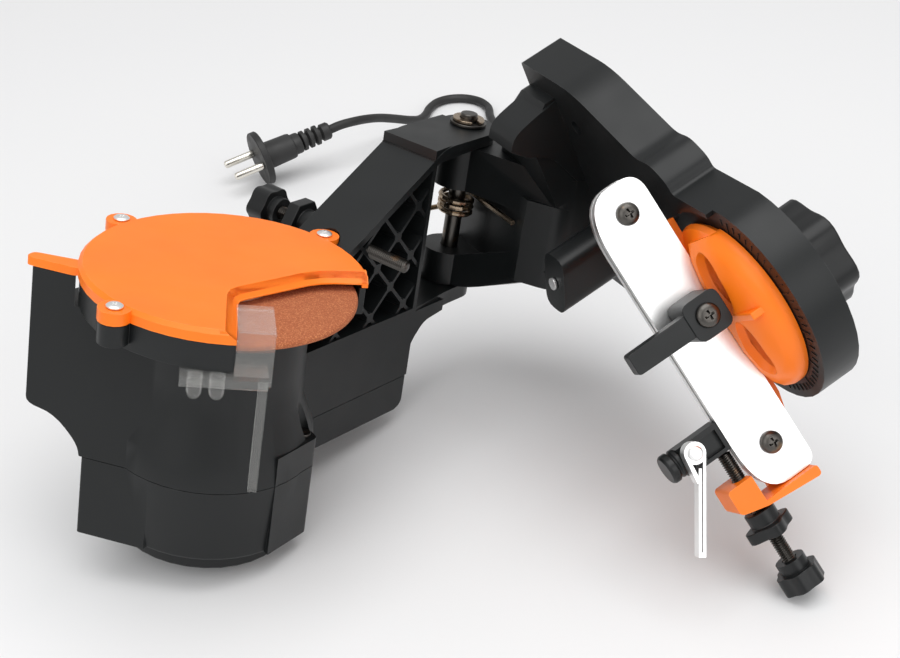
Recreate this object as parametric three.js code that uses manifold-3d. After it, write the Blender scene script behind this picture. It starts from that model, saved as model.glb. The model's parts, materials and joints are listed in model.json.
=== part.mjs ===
// Electric bench grinder for saw chain, lying on its side on a table with its head raised.
// Millimetres. The grinder is modelled in its working frames and laid down at the end:
//   base frame   X forward, Y towards the guard side, Z up, origin in the middle of the hinge pin
//   hinge frame  Z along the hinge pin towards the guard side, X forward
//   head frame   the hinge frame turned so that X runs from the pin to the wheel, Y to the work side
//   vise frame   origin on the swivel axis at the protractor face, X along the rails, Y forward
import * as THREE from 'three';
import { mergeVertices } from 'three/addons/utils/BufferGeometryUtils.js';
import Module from 'manifold-3d';

const wasm = await Module();
wasm.setup();

// ---- driving dimensions -------------------------------------------------------------------
const GAP = 0.3;                 // between pieces that touch
const HEAD_TILT = 32;            // degrees the hinge pin dips towards the guard side
const HEAD_RAISED = 65;          // degrees the arm stands above the forward direction
const VISE_SWIVEL = 33;          // degrees the vise is turned from square

const ARM = 158;                 // hinge pin to wheel centre
const ARM_HALF = 15;             // half width of the arm across Y
const ARM_END = 42;              // end wall of the arm box, from the pin
const LUG_TOP = 41;              // upper face of the arm's upper lug, along the pin
const STRAP_START = 36;          // where the strap begins to fall towards the wheel
const STRAP_FALL = 30;           // degrees
const WALL = 2.5;

const WHEEL_R = 54;
const WHEEL_T = 3.2;
const BARREL_R = 35.8;           // motor barrel of the head housing
const COVER_R = 43.4;            // lower cover round the motor
const HOUSING_TOP = -9;
const SEAM = -71;                // parting plane of housing and lower cover
const COVER_BOTTOM = -104;
const FOOT = -112;               // outer face of the motor end cap
const FOOT_R = 36;
const BOX_FAR = -40;             // far wall of the wiring box under the arm
const BOX_TOP = -36;
const REST_RIB = -101.8;         // rib that rests on the table, at the far wall
const HANDLE = { x: 174, far: -54, near: -31.5, bottom: -55.5, top: 3, inner: -12 };
// Slopes of the flat end face: across Y, and of its edges towards the foot.
const FACE = { slant: 0.43, leanX: 0.103, leanY: 0.1 };
const GUARD_R = 58.3;
const GUARD_TOP = 8.8;
const EAR_R = 60.5;              // radius on which the guard screws stand
const STOP_X = 80;               // depth-stop screw along the arm
const STOP_Z = 1;

const PIN_R = 4;
const BORE_R = 4.3;
const HUB_R = 13;

const PLATE_BOTTOM = -65;
const PLATE_TOP = -44;
const PROTRACTOR = -47.4;        // protractor face
const SWIVEL_X = 167.3;          // swivel axis, forward of the hinge pin
const DISC_R = 47;
const POST = { x: 90, long: 16, wide: 25, top: -1, slope: 18 };

const RAIL_HALF = 69.5;
const RAIL_LOW = 11.5;
const RAIL_HIGH = 39.2;
const RAIL_T = 2.5;
const SLOT = 2;                  // gap between the rails, where the chain's links run
const RAIL_SCREWS = [-56.5, 52.5];
const RAIL_SCREW_Z = 24;
const LEVER = { x: -8, z: 24 };
const SCREW_Z = 42.6;             // adjusting screw above the protractor face
const STOP_BAR = { x0: 32.5, x1: 45, top: 59.5 };
const PAWL = { x: 36, z: 55.5, long: 41, y0: 6.8, y1: 11.8 };

const THREAD_R = 3;              // M6 screws
const ROUND = 32;                // steps round a large circle
const SMALL = 16;                // steps round a small one

// ---- geometry helpers ---------------------------------------------------------------------
const rad = THREE.MathUtils.degToRad;

// Closed triangle mesh with shared corners, as manifold-3d takes it.
function manifoldOf(geometry) {
  const bare = geometry.clone();
  bare.deleteAttribute('normal');
  bare.deleteAttribute('uv');
  const merged = mergeVertices(bare, 1e-4);
  const corners = merged.index.array;
  const triangles = [];
  for (let i = 0; i < corners.length; i += 3) {
    const [a, b, c] = [corners[i], corners[i + 1], corners[i + 2]];
    if (a !== b && b !== c && c !== a) triangles.push(a, b, c);
  }
  const vertProperties = new Float32Array(merged.attributes.position.array);
  if (signedVolume(vertProperties, triangles) < 0) {
    for (let i = 0; i < triangles.length; i += 3) {
      [triangles[i], triangles[i + 1]] = [triangles[i + 1], triangles[i]];
    }
  }
  const mesh = new wasm.Mesh({ numProp: 3, vertProperties, triVerts: new Uint32Array(triangles) });
  return new wasm.Manifold(mesh);
}

function signedVolume(position, triangles) {
  const [a, b, c] = [new THREE.Vector3(), new THREE.Vector3(), new THREE.Vector3()];
  let sum = 0;
  for (let i = 0; i < triangles.length; i += 3) {
    a.fromArray(position, 3 * triangles[i]);
    b.fromArray(position, 3 * triangles[i + 1]);
    c.fromArray(position, 3 * triangles[i + 2]);
    sum += a.dot(b.cross(c));
  }
  return sum;
}

function geometryOf(manifold) {
  const mesh = manifold.getMesh();
  const geometry = new THREE.BufferGeometry();
  geometry.setAttribute('position', new THREE.BufferAttribute(new Float32Array(mesh.vertProperties), 3));
  geometry.setIndex(new THREE.BufferAttribute(new Uint32Array(mesh.triVerts), 1));
  geometry.computeVertexNormals();
  return geometry;
}

function combine(first, others, step) {
  let result = manifoldOf(first);
  for (const other of others) result = step(result, manifoldOf(other));
  return geometryOf(result);
}
const join = (first, ...others) => combine(first, others, (a, b) => a.add(b));
const cut = (first, ...others) => combine(first, others, (a, b) => a.subtract(b));
const common = (first, ...others) => combine(first, others, (a, b) => a.intersect(b));
const hull = (...geometries) => geometryOf(wasm.Manifold.hull(geometries.map(manifoldOf)));

// Closed outline through points [x, y, corner radius].
function outline(points) {
  const shape = new THREE.Shape();
  points.forEach(([x, y, radius = 0], i) => {
    const here = new THREE.Vector2(x, y);
    const toward = (k) => {
      const [px, py] = points[(i + k + points.length) % points.length];
      const leg = new THREE.Vector2(px, py).sub(here);
      return here.clone().addScaledVector(leg.clone().normalize(), Math.min(radius, leg.length() / 2));
    };
    const [enter, leave] = [toward(-1), toward(1)];
    if (i === 0) shape.moveTo(enter.x, enter.y);
    else shape.lineTo(enter.x, enter.y);
    if (radius > 0) shape.quadraticCurveTo(x, y, leave.x, leave.y);
  });
  shape.closePath();
  return shape;
}

// Solid between two heights over an outline in the XY plane.
function slab(points, z0, z1, steps = 4) {
  const options = { depth: z1 - z0, bevelEnabled: false, curveSegments: steps };
  return new THREE.ExtrudeGeometry(outline(points), options).translate(0, 0, z0);
}

// The same over an outline of [x, z] points, between two values of Y.
function panel(points, y0, y1, steps = 4) {
  return slab(points, 0, y1 - y0, steps).rotateX(Math.PI / 2).translate(0, y1, 0);
}

// The same over an outline of [y, z] points, between two values of X.
function bulkhead(points, x0, x1, steps = 4) {
  return slab(points, 0, x1 - x0, steps).rotateX(Math.PI / 2).rotateZ(Math.PI / 2).translate(x0, 0, 0);
}

function block(x0, x1, y0, y1, z0, z1) {
  const geometry = new THREE.BoxGeometry(x1 - x0, y1 - y0, z1 - z0);
  return geometry.translate((x0 + x1) / 2, (y0 + y1) / 2, (z0 + z1) / 2);
}

// Solid turned about Z from a profile of [radius, z] points that closes on itself or the axis.
function turned(profile, steps = ROUND) {
  const closed = profile[0][0] > 0 ? [...profile, profile[0]] : profile;
  const points = closed.map(([r, z]) => new THREE.Vector2(r, z));
  return new THREE.LatheGeometry(points, steps).rotateX(Math.PI / 2);
}

const rod = (r, z0, z1, steps = SMALL) => turned([[0, z0], [r, z0], [r, z1], [0, z1]], steps);
const ring = (r0, r1, z0, z1, steps = ROUND) => turned([[r0, z0], [r1, z0], [r1, z1], [r0, z1]], steps);

const alongX = (geometry) => geometry.rotateY(Math.PI / 2);     // Z becomes X
const alongY = (geometry) => geometry.rotateX(-Math.PI / 2);    // Z becomes Y
const atWheel = (geometry) => geometry.translate(ARM, 0, 0);

// Grip of a knob: a disc with round lobes, about Z.
function lobed(r, lobes, depth, z0, z1) {
  const count = lobes * 8;
  const points = [];
  for (let i = 0; i < count; i += 1) {
    const angle = (2 * Math.PI * i) / count;
    const here = r - depth * (0.5 - 0.5 * Math.cos(lobes * angle));
    points.push([here * Math.cos(angle), here * Math.sin(angle)]);
  }
  return slab(points, z0, z1);
}

const around = (r, angle) => [r * Math.cos(angle), r * Math.sin(angle)];
const hexagon = (r) => Array.from({ length: 6 }, (_, i) => around(r, (i * Math.PI) / 3));

// Solid round section swept along a smooth line through points.
function wire(points, r, steps, sides = 8) {
  const circle = new THREE.Shape().absarc(0, 0, r, 0, 2 * Math.PI);
  const path = new THREE.CatmullRomCurve3(points.map((p) => new THREE.Vector3(...p)));
  const options = { extrudePath: path, steps, curveSegments: sides / 2, bevelEnabled: false };
  return new THREE.ExtrudeGeometry(circle, options);
}

// ---- materials ----------------------------------------------------------------------------
const finish = (color, roughness, metalness = 0, opacity = 1) => () => new THREE.MeshStandardMaterial({
  color, roughness, metalness, opacity, transparent: opacity < 1,
});
const blackPlastic = finish(0x1b1c1d, 0.55);
const orangePlastic = finish(0xf06a1c, 0.4);
const clearPlastic = finish(0xdfe0d6, 0.15, 0, 0.35);
const abrasive = finish(0xa8512c, 0.95);
const brightSteel = finish(0xd8d8d6, 0.22, 1);
const darkSteel = finish(0x4a4844, 0.35, 1);
const springSteel = finish(0x8a6f4a, 0.3, 1);
const coreSteel = finish(0x77787a, 0.5, 0.9);
const cordBlack = finish(0x151515, 0.5);

function piece(parent, name, geometry, material) {
  const mesh = new THREE.Mesh(geometryOf(manifoldOf(geometry)), material());
  mesh.name = name;
  parent.add(mesh);
  return mesh;
}

// ---- head: housing, covers and motor ------------------------------------------------------
const EARS = [-90, 180, 0];      // degrees round the wheel
const ear = (angle, r, z0, z1) => rod(r, z0, z1, SMALL)
  .translate(EAR_R * Math.cos(rad(angle)), EAR_R * Math.sin(rad(angle)), 0);

// Everything the guard and its screw ears need clear above the housing.
const guardClearance = () => atWheel(join(rod(GUARD_R + 0.7, HOUSING_TOP, 60, 48),
  ...EARS.map((angle) => ear(angle, 7, -6.5, 60))));

// Corner of the housing outside the motor barrel, which takes the housing screw.
const CORNER = [[130, 18], [139, 41.5, 2], [165, 43.2], [158, 20]];
const CORNER_TOP = -58;
const HOUSING_SCREW = { x: 142.5, y: 36.5 };

// Plan of the end block at the handle's top, with its flat face at a slant. Below, the block leans
// outward, so that its corner stays upright in the lying position.
const faceX = (y) => 196.3 - FACE.slant * (y + 20);
function endBlock(z0, z1, behind = 0) {
  const back = (y) => faceX(y) - behind;
  return lean(slab([[150, HANDLE.near], [HANDLE.x, HANDLE.near], [HANDLE.x, -64], [back(-64), -64],
    [back(-4), -4], [150, -4]], z0, z1));
}
function coverBlock(z0, z1, inset = 0) {
  const y = HANDLE.near + inset;
  return lean(slab([[124, y], [faceX(y) - inset, y, 2], [faceX(-4) - inset, -4], [124, -4]], z0, z1));
}
function lean(geometry) {
  const position = geometry.attributes.position;
  for (let i = 0; i < position.count; i += 1) {
    const drop = HANDLE.top - position.getZ(i);
    position.setXY(i, position.getX(i) + FACE.leanX * drop, position.getY(i) + FACE.leanY * drop);
  }
  return geometry;
}
// Side view of handle and body, as [y, z].
function endProfile(inset) {
  const far = HANDLE.far + inset;
  return [[far, HANDLE.top], [far + 5, -48, 2], [far + 5.5, HANDLE.bottom + 1.5 + inset, 6],
    [-37, HANDLE.bottom + inset, 8], [-26 + inset, -66 + inset, 6], [-24.2 + inset, SEAM - 1],
    [6 - inset, SEAM - 1], [6 - inset, HANDLE.top]];
}

// Round posts on crossings of the lattice, [x, z].
const LATTICE_PINS = [[51, -7.6], [62.6, 3.8], [63.3, -20.1], [51.6, -31.8], [75, -8.5], [75.5, -32.2],
  [50.2, 15.9]];

function lattice(within) {
  const ribs = [];
  const crossings = [];
  for (let i = -1; i <= 4; i += 1) {
    const rib = () => block(-90, 90, -ARM_HALF + 1, ARM_HALF - 1, -0.8, 0.8);
    ribs.push(rib().rotateY(-rad(45)).translate(34.3 + 24.5 * i, 0, 0));
    ribs.push(rib().rotateY(rad(45)).translate(19.8 + 23.3 * i, 0, 0));
  }
  for (const [x, z] of LATTICE_PINS) {
    crossings.push(alongY(rod(2.4, -ARM_HALF + 1, ARM_HALF - 1, 10)).translate(x, 0, z));
  }
  return common(join(...ribs, ...crossings), panel(within, -ARM_HALF, ARM_HALF));
}

function headHousing() {
  const fall = Math.tan(rad(STRAP_FALL));
  const strapZ = (x) => LUG_TOP - (x - STRAP_START) * fall;
  const strapFoot = 112;
  const sheet = 3.2 / Math.cos(rad(STRAP_FALL));
  const barrel = atWheel(turned([[0, SEAM], [COVER_R, SEAM], [COVER_R - 1, SEAM + 12],
    [BARREL_R + 0.6, -44], [BARREL_R, -30], [BARREL_R, HOUSING_TOP], [0, HOUSING_TOP]], 40));
  const block0 = common(bulkhead(endProfile(0), 140, 230), endBlock(SEAM, HANDLE.top));
  const back = cut(block0, block(120, HANDLE.x, -90, 30, HOUSING_TOP, 20),
    endBlock(HANDLE.inner, 20, 5).translate(-1, 0, 0));
  const strap = panel([[0, LUG_TOP], [STRAP_START, LUG_TOP, 6], [strapFoot, strapZ(strapFoot)],
    [strapFoot, strapZ(strapFoot) - sheet], [STRAP_START - 1, LUG_TOP - 3.4, 4], [0, LUG_TOP - 3.4]],
  -ARM_HALF, ARM_HALF);
  const underStrap = [[ARM_END, BOX_TOP - 1], [ARM_END, strapZ(ARM_END) - 1],
    [strapFoot, strapZ(strapFoot) - 1], [124, -14], [124, BOX_TOP - 1]];
  const web = panel(underStrap, -ARM_HALF, -ARM_HALF + WALL);
  const webEnd = block(15, ARM_END + 1, -ARM_HALF, -ARM_HALF + WALL, -38, LUG_TOP - 2);
  const endWall = block(ARM_END, ARM_END + WALL, -ARM_HALF, ARM_HALF, BOX_TOP - 1, strapZ(ARM_END) - 1);
  const lugPlan = (r) => [[ARM_END + 2, -ARM_HALF], [ARM_END + 2, ARM_HALF], [14, r, 8], [0, r], [0, -r],
    [14, -r, 8]];
  const upperLug = join(slab(lugPlan(HUB_R), 34.4, LUG_TOP), rod(HUB_R, 34.4, LUG_TOP, ROUND));
  const lowerLug = join(slab(lugPlan(HUB_R - 1), -43.6, -36.5), rod(HUB_R - 1, -43.6, -36.5, ROUND));
  const lugFoot = panel([[20, -38], [20, -43.6], [34, -45.5, 4], [ARM_END, -54, 4], [ARM_END + 3, -64],
    [ARM_END + 3, -38]], -ARM_HALF, ARM_HALF);
  const box = block(ARM_END, 130, BOX_FAR, ARM_HALF, SEAM, BOX_TOP);
  const corner = slab(CORNER, SEAM, CORNER_TOP);
  const stopBoss = alongY(rod(7, -15.5, 5, SMALL)).translate(STOP_X, 0, STOP_Z);
  const shell = cut(
    join(barrel, back, strap, web, webEnd, endWall, lattice(underStrap), upperLug, lowerLug, lugFoot, box,
      corner, stopBoss),
    guardClearance(),
  );
  const chamber = atWheel(rod(BARREL_R - 3, SEAM - 1, HOUSING_TOP - 3.5, 40));
  const blockRoom = common(bulkhead(endProfile(WALL), 140, 230),
    endBlock(SEAM - 1, HANDLE.inner - WALL, WALL),
    block(HANDLE.x + WALL, 230, -60, 20, SEAM - 2, 10));
  const boxRoom = block(ARM_END + WALL, 127, BOX_FAR + WALL, ARM_HALF - WALL, SEAM - 1, BOX_TOP - WALL);
  const bearingSeat = atWheel(ring(11.3, 15, -21, HOUSING_TOP - 1));
  return cut(join(cut(shell, chamber, blockRoom, boxRoom), bearingSeat),
    atWheel(rod(6, -30, 0)),
    rod(BORE_R, -60, 60),
    alongY(rod(THREAD_R + GAP, -60, 60)).translate(STOP_X, 0, STOP_Z),
    rod(1.9, SEAM - 1, CORNER_TOP + 1).translate(HOUSING_SCREW.x, HOUSING_SCREW.y, 0),
    rod(3.6, CORNER_TOP, CORNER_TOP + 22).translate(HOUSING_SCREW.x, HOUSING_SCREW.y, 0),
    block(SWITCH.x0 - GAP, SWITCH.x1 + GAP, HANDLE.far - 1, HANDLE.far + 8,
      SWITCH.z0 - GAP, SWITCH.z1 + GAP));
}

const housingScrew = () => join(rod(1.6, -84, CORNER_TOP + 0.4), rod(3.2, CORNER_TOP + GAP, CORNER_TOP + 1.8))
  .translate(HOUSING_SCREW.x, HOUSING_SCREW.y, 0);

const SWITCH = { x0: 186, x1: 200, z0: -36, z1: -14 };

function switchRocker() {
  const middle = (SWITCH.z0 + SWITCH.z1) / 2;
  const face = HANDLE.far + 2.6;
  return bulkhead([[face + 3, SWITCH.z0 + 1], [face + 3, SWITCH.z1 - 1], [face - 0.4, SWITCH.z1 - 0.6],
    [face + 0.4, middle], [face - 2.4, SWITCH.z0 + 0.6]], SWITCH.x0, SWITCH.x1);
}

function lowerCover() {
  const top = SEAM - GAP;
  const round = atWheel(turned([[0, COVER_BOTTOM], [COVER_R - 2.6, COVER_BOTTOM],
    [COVER_R - 1.6, COVER_BOTTOM + 1.5], [COVER_R, top], [0, top]], 40));
  const back = coverBlock(COVER_BOTTOM, top);
  const corner = slab(CORNER, COVER_BOTTOM, top);
  const tray = panel([[ARM_END + 1, top], [ARM_END + 1, -86, 3], [ARM_END + 6, -88], [126, -88], [126, top]],
    -ARM_HALF, ARM_HALF);
  const farSide = panel([[ARM_END + 4, top], [ARM_END + 4, -95, 3], [126, -95], [126, top]],
    BOX_FAR, -ARM_HALF + 4);
  const restRib = panel([[ARM_END + 4, -90], [ARM_END + 4, REST_RIB, 3], [100, REST_RIB, 8], [108, -90]],
    BOX_FAR, BOX_FAR + 3);
  const shell = join(round, back, corner, tray, farSide, restRib);
  const chamber = atWheel(rod(COVER_R - 3, COVER_BOTTOM + 3, top + 1, ROUND));
  const backRoom = coverBlock(COVER_BOTTOM + 3, top + 1, WALL);
  const trayRoom = block(ARM_END + 1 + WALL, 130, -ARM_HALF, ARM_HALF - WALL, -88 + WALL, top + 1);
  const ribRoom = block(ARM_END + 4 + WALL, 130, BOX_FAR + WALL, -ARM_HALF + 1.5, -95 + WALL, top + 1);
  return cut(shell, chamber, backRoom, trayRoom, ribRoom,
    atWheel(rod(16, COVER_BOTTOM - 1, COVER_BOTTOM + 5, ROUND)),
    rod(1.9, -90, top + 1).translate(HOUSING_SCREW.x, HOUSING_SCREW.y, 0),
    cordHole());
}

// Cable entry through the far wall of the lower cover.
const CORD_X = 72;
const CORD_Z = -84;
const RELIEF_R = 5.2;
const cordHole = () => alongY(rod(RELIEF_R, -60, BOX_FAR + 6, SMALL)).translate(CORD_X, 0, CORD_Z);

const RELIEF_TAIL = BOX_FAR - 36;

function strainRelief() {
  const profile = [[0, BOX_FAR + 5], [6.4, BOX_FAR + 5], [6.4, BOX_FAR + 2.8], [4.9, BOX_FAR + 2.8],
    [4.9, BOX_FAR - GAP], [7.2, BOX_FAR - GAP], [7.2, BOX_FAR - 3], [5.6, BOX_FAR - 4], [3.9, RELIEF_TAIL],
    [0, RELIEF_TAIL]];
  return alongY(turned(profile, SMALL)).translate(CORD_X, 0, CORD_Z);
}

function endCap() {
  return atWheel(turned([[0, FOOT], [FOOT_R - 0.8, FOOT], [FOOT_R, FOOT + 0.8],
    [FOOT_R, COVER_BOTTOM - GAP], [15, COVER_BOTTOM - GAP], [15, -97], [11.3, -97], [11.3, -103.6],
    [0, -103.6]]));
}

const bearing = (z0, z1) => atWheel(turned([[BORE_R, z0], [11, z0], [11, z1], [BORE_R, z1]], 24));

function motorStator() {
  return atWheel(ring(22, BARREL_R - 3.4, -92, -44));
}

function rotorShaft() {
  return atWheel(turned([[0, -103], [PIN_R, -103], [PIN_R, -88], [20.5, -88], [20.5, -48], [PIN_R, -48],
    [PIN_R, 6.2], [0, 6.2]]));
}

// ---- head: wheel and guard ----------------------------------------------------------------
function grindingWheel() {
  const half = WHEEL_T / 2;
  return atWheel(turned([[11.4, -half], [WHEEL_R - 1.2, -half], [WHEEL_R, -half + 1], [WHEEL_R, half - 1],
    [WHEEL_R - 1.2, half], [11.4, half]], 56));
}
const innerFlange = () => atWheel(turned([[BORE_R, -5.8], [9, -5.8], [18, -4], [18, -1.9], [11, -1.9],
  [11, 1.2], [BORE_R, 1.2]], 28));
const outerFlange = () => atWheel(ring(BORE_R, 18, 1.9, 4.2, 28));
const wheelNut = () => cut(atWheel(slab(hexagon(7), 4.5, 6.2)), atWheel(rod(BORE_R, 4, 7)));

// Opening of the guard on the work side, as an outline round the wheel axis.
const OPENING = [[13, 19, 3], [47, 50], [60, 90], [-70, 90], [-46, 42.5], [-27, 27, 8]];

function guardBack() {
  const dish = turned([[20, -8.7], [GUARD_R - 0.8, -8.7], [GUARD_R - 0.8, 3], [GUARD_R - 3.4, 3],
    [GUARD_R - 3.4, -6.2], [20, -6.2]], 48);
  const bosses = EARS.map((angle) => ear(angle, 6.2, -6, 3));
  const inside = rod(GUARD_R - 3.4, -6.2, 10, 48);
  const bores = EARS.map((angle) => ear(angle, 2.3, -4, 4));
  return atWheel(cut(join(dish, ...bosses), inside, slab(OPENING, -20, 20), ...bores));
}

function guardCover() {
  const dome = turned([[0, GUARD_TOP - 2.2], [GUARD_R - 2.6, GUARD_TOP - 2.2], [GUARD_R - 2.6, 3.3],
    [GUARD_R, 3.3], [GUARD_R, GUARD_TOP - 1.6], [GUARD_R - 1.6, GUARD_TOP], [0, GUARD_TOP]], 48);
  const bosses = EARS.map((angle) => ear(angle, 6.5, 3.3, GUARD_TOP - 0.4));
  const tab = slab([[49, -58, 2], [54.5, -57, 3], [46, -36.5, 3], [30, -30], [40, -42]], 3.3, 6.9);
  const inside = rod(GUARD_R - 2.6, -5, GUARD_TOP - 2.2, 48);
  const bores = EARS.map((angle) => ear(angle, 2.3, 0, 20));
  return atWheel(cut(join(dome, ...bosses, tab), inside, slab(OPENING, -20, 20), ...bores));
}

const guardScrew = (angle) => atWheel(join(ear(angle, 2, -3.5, 8.8),
  ear(angle, 3.4, GUARD_TOP - 0.1, GUARD_TOP + 1.1)));

// Clear spark shield in the guard's opening, modelled with X outward from the wheel axis.
const SHIELD = { turn: 45, inner: 36.5, rim: 59.8, side0: 2.7, side1: 17, top: GUARD_TOP + 1.3 };
const inShieldFrame = (geometry) => atWheel(geometry.rotateZ(rad(SHIELD.turn)));

function sparkShield() {
  const { inner, rim, side0, side1, top } = SHIELD;
  const flap = block(inner, rim, side0, side1, top - 1.3, top);
  const front = block(rim - 1.3, rim, side0, side1, -13, top);
  const flange = block(48, rim, -17.5, side1 - 1, -11.2, -9.4);
  const lip = block(rim - 1.3, rim, -17.5, side1 - 1, -14.5, -9.4);
  const strip = block(rim - 4.2, rim - 1.5, side1 - 4.6, side1 - 1, -60, -9.4);
  return inShieldFrame(join(flap, front, flange, lip, strip));
}
const shieldPeg = (along) => inShieldFrame(
  turned([[0, -21.5], [2, -21], [3, -19], [3, -11.6], [0, -11.6]], SMALL).translate(54.8, along, 0),
);

// ---- depth stop ---------------------------------------------------------------------------
const onStop = (geometry) => alongY(geometry).translate(STOP_X, 0, STOP_Z);
const depthScrew = () => onStop(rod(THREAD_R, -50, 33));
const depthKnob = () => onStop(cut(join(lobed(10, 6, 1.2, -52, -43), rod(6.5, -43.1, -39)),
  rod(THREAD_R + GAP, -50.4, -35)));
const depthLockNut = () => onStop(cut(join(slab(hexagon(10.5), -31, -25), rod(6.5, -25.1, -15.9)),
  rod(THREAD_R + GAP, -40, -10)));

// ---- hinge --------------------------------------------------------------------------------
const hingePin = () => turned([[0, -48], [7, -48], [7, -44.8], [PIN_R, -44.8], [PIN_R, 46.5], [0, 46.5]]);
const hingeWasher = () => ring(BORE_R, 8.5, LUG_TOP + GAP, LUG_TOP + 1.7);
const hingeClip = () => cut(ring(BORE_R, 7.4, LUG_TOP + 2, LUG_TOP + 3.2), block(2, 12, -2, 2, 40, 50));

// Coil round the pin with one leg on the tower and one on the arm's web.
const COIL = { r: 7.6, wire: 1.25, turns: 3.25, top: 6.5, bottom: -3.1 };
function torsionSpring() {
  const points = [[38, 8.7, COIL.top], [18, 8.1, COIL.top]];
  const steps = Math.round(COIL.turns * 12);
  for (let i = 0; i <= steps; i += 1) {
    const angle = Math.PI / 2 + (2 * Math.PI * i) / 12;
    const height = COIL.top + ((COIL.bottom - COIL.top) * i) / steps;
    points.push([COIL.r * Math.cos(angle), COIL.r * Math.sin(angle), height]);
  }
  points.push([-5.4, -11.5, COIL.bottom], [0.6, -24.5, COIL.bottom]);
  return wire(points, COIL.wire, 80, 8);
}

// ---- base ---------------------------------------------------------------------------------
function plateOutline(inset) {
  const rim = DISC_R - inset;
  const points = [[35 + inset, 70 - inset, 2], [77, 70 - inset, 10], [118, 53 - inset, 4],
    [128, 55 - inset, 4], [138, 50 - inset, 4], [140, 45 - inset, 2]];
  const start = 86;
  const sweep = start + 94;
  for (let i = 0; i <= 20; i += 1) {
    const angle = rad(start - (sweep * i) / 20);
    points.push([SWIVEL_X + rim * Math.cos(angle), rim * Math.sin(angle)]);
  }
  points.push([118, -47 + inset, 4], [77, -55 + inset, 8], [35 + inset, -55 + inset, 2]);
  return points;
}

// Web that climbs from the upper hinge lug to the frame's corner, clear of the swinging arm.
function ramp() {
  const foot = PLATE_TOP - 2;
  const atCorner = slab([[35, 8], [35, 59, 4], [57, 59], [57, 8]], foot, -39);
  const middle = slab([[28, 8], [28, 46, 4], [57, 48.5], [57, 8]], foot, RAMP_FRONT);
  const atLug = slab([[15, 8], [15, 25.5], [30, 38], [30, 8]], foot, RAMP_FRONT);
  // Room for the lowered arm above the lug, in the hinge frame.
  const armRoom = slab([[-20, -40], [60, -40], [60, -7.5], [46, -2], [18, 9.6], [5, 15.5], [-20, 15.5]],
    34, 43).rotateX(-rad(90 + HEAD_TILT));
  return cut(join(hull(atCorner, middle), hull(middle, atLug)), armRoom);
}
const RAMP_FRONT = -26.5;

function baseCasting() {
  const plate = cut(slab(plateOutline(0), PLATE_BOTTOM, PLATE_TOP),
    rod(DISC_R - 2.5, PROTRACTOR, 0, 48).translate(SWIVEL_X, 0, 0),
    block(SWIVEL_X - 4, 240, -80, 80, PROTRACTOR, 0));
  const under = slab(plateOutline(3.5), PLATE_BOTTOM - 1, PROTRACTOR - 4);
  const hubRing = rod(10, PLATE_BOTTOM + 0.5, PROTRACTOR - 1, 24).translate(SWIVEL_X, 0, 0);
  const towerPlan = [[12, -4], [58, 22, 6], [60, 84], [36, 84], [-12, 8]];
  const lug = (z0, z1) => join(rod(HUB_R, z0, z1, ROUND), slab(towerPlan, z0, z1));
  const sweptLug = common(lug(-36, 4), panel([[-20, -36], [17, -36, 10], [60, -12.5], [60, 2], [12, -20],
    [-20, -20]], -30, 90));
  const pillar = slab([[44, 10.6], [58, 22, 6], [60, 84], [36, 84], [-13, 17], [-13, 10.6]], -20, 20);
  const tower = common(
    join(lug(12.5, 34), sweptLug, pillar).rotateX(-rad(90 + HEAD_TILT)),
    block(-30, 70, -38, 80, PROTRACTOR - 3, 40),
  );
  const foot = PLATE_TOP - 1;
  const wing = bulkhead([[58, foot], [56.5, -32, 6], [54, -20, 5], [48, -16], [41, -22], [34, -33, 6],
    [10, -42], [10, foot]], 38, 58);
  const farWing = bulkhead([[-44, foot], [-40, -30, 6], [-36, -16], [-20, -10], [-10, foot]], 38, 58);
  const [half, wide] = [POST.long / 2, POST.wide / 2];
  const column = slab([[POST.x - half, -wide, 6], [POST.x + half, -wide, 6], [POST.x + half, wide, 6],
    [POST.x - half, wide, 6]], PROTRACTOR - 1, POST.top + 8);
  const post = cut(column, onPost(block(-30, 30, -30, 30, 0, 30)));
  return cut(
    join(cut(plate, under), hubRing, tower, wing, farWing, ramp(), post),
    rod(BORE_R, -60, 60).rotateX(-rad(90 + HEAD_TILT)),
    rod(BORE_R, -80, 0).translate(SWIVEL_X, 0, 0),
    rod(3.4, -80, 0).translate(69, 48, 0),
    rod(3.4, -80, 0).translate(69, -42, 0),
    onPost(rod(1.9, -12, 5)),
  );
}
// The post's end face slopes down towards the guard side.
const onPost = (geometry) => geometry.rotateX(-rad(POST.slope)).translate(POST.x, 0, POST.top);
const postScrew = () => onPost(join(rod(1.6, -10, 0.4), rod(2.8, 0.3, 1.5)));
const viseLockKnob = () => cut(lobed(24, 6, 3, PLATE_BOTTOM - 22, PLATE_BOTTOM - GAP),
  rod(PIN_R + GAP, PLATE_BOTTOM - 14, PLATE_BOTTOM + 1)).translate(SWIVEL_X, 0, 0);

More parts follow.
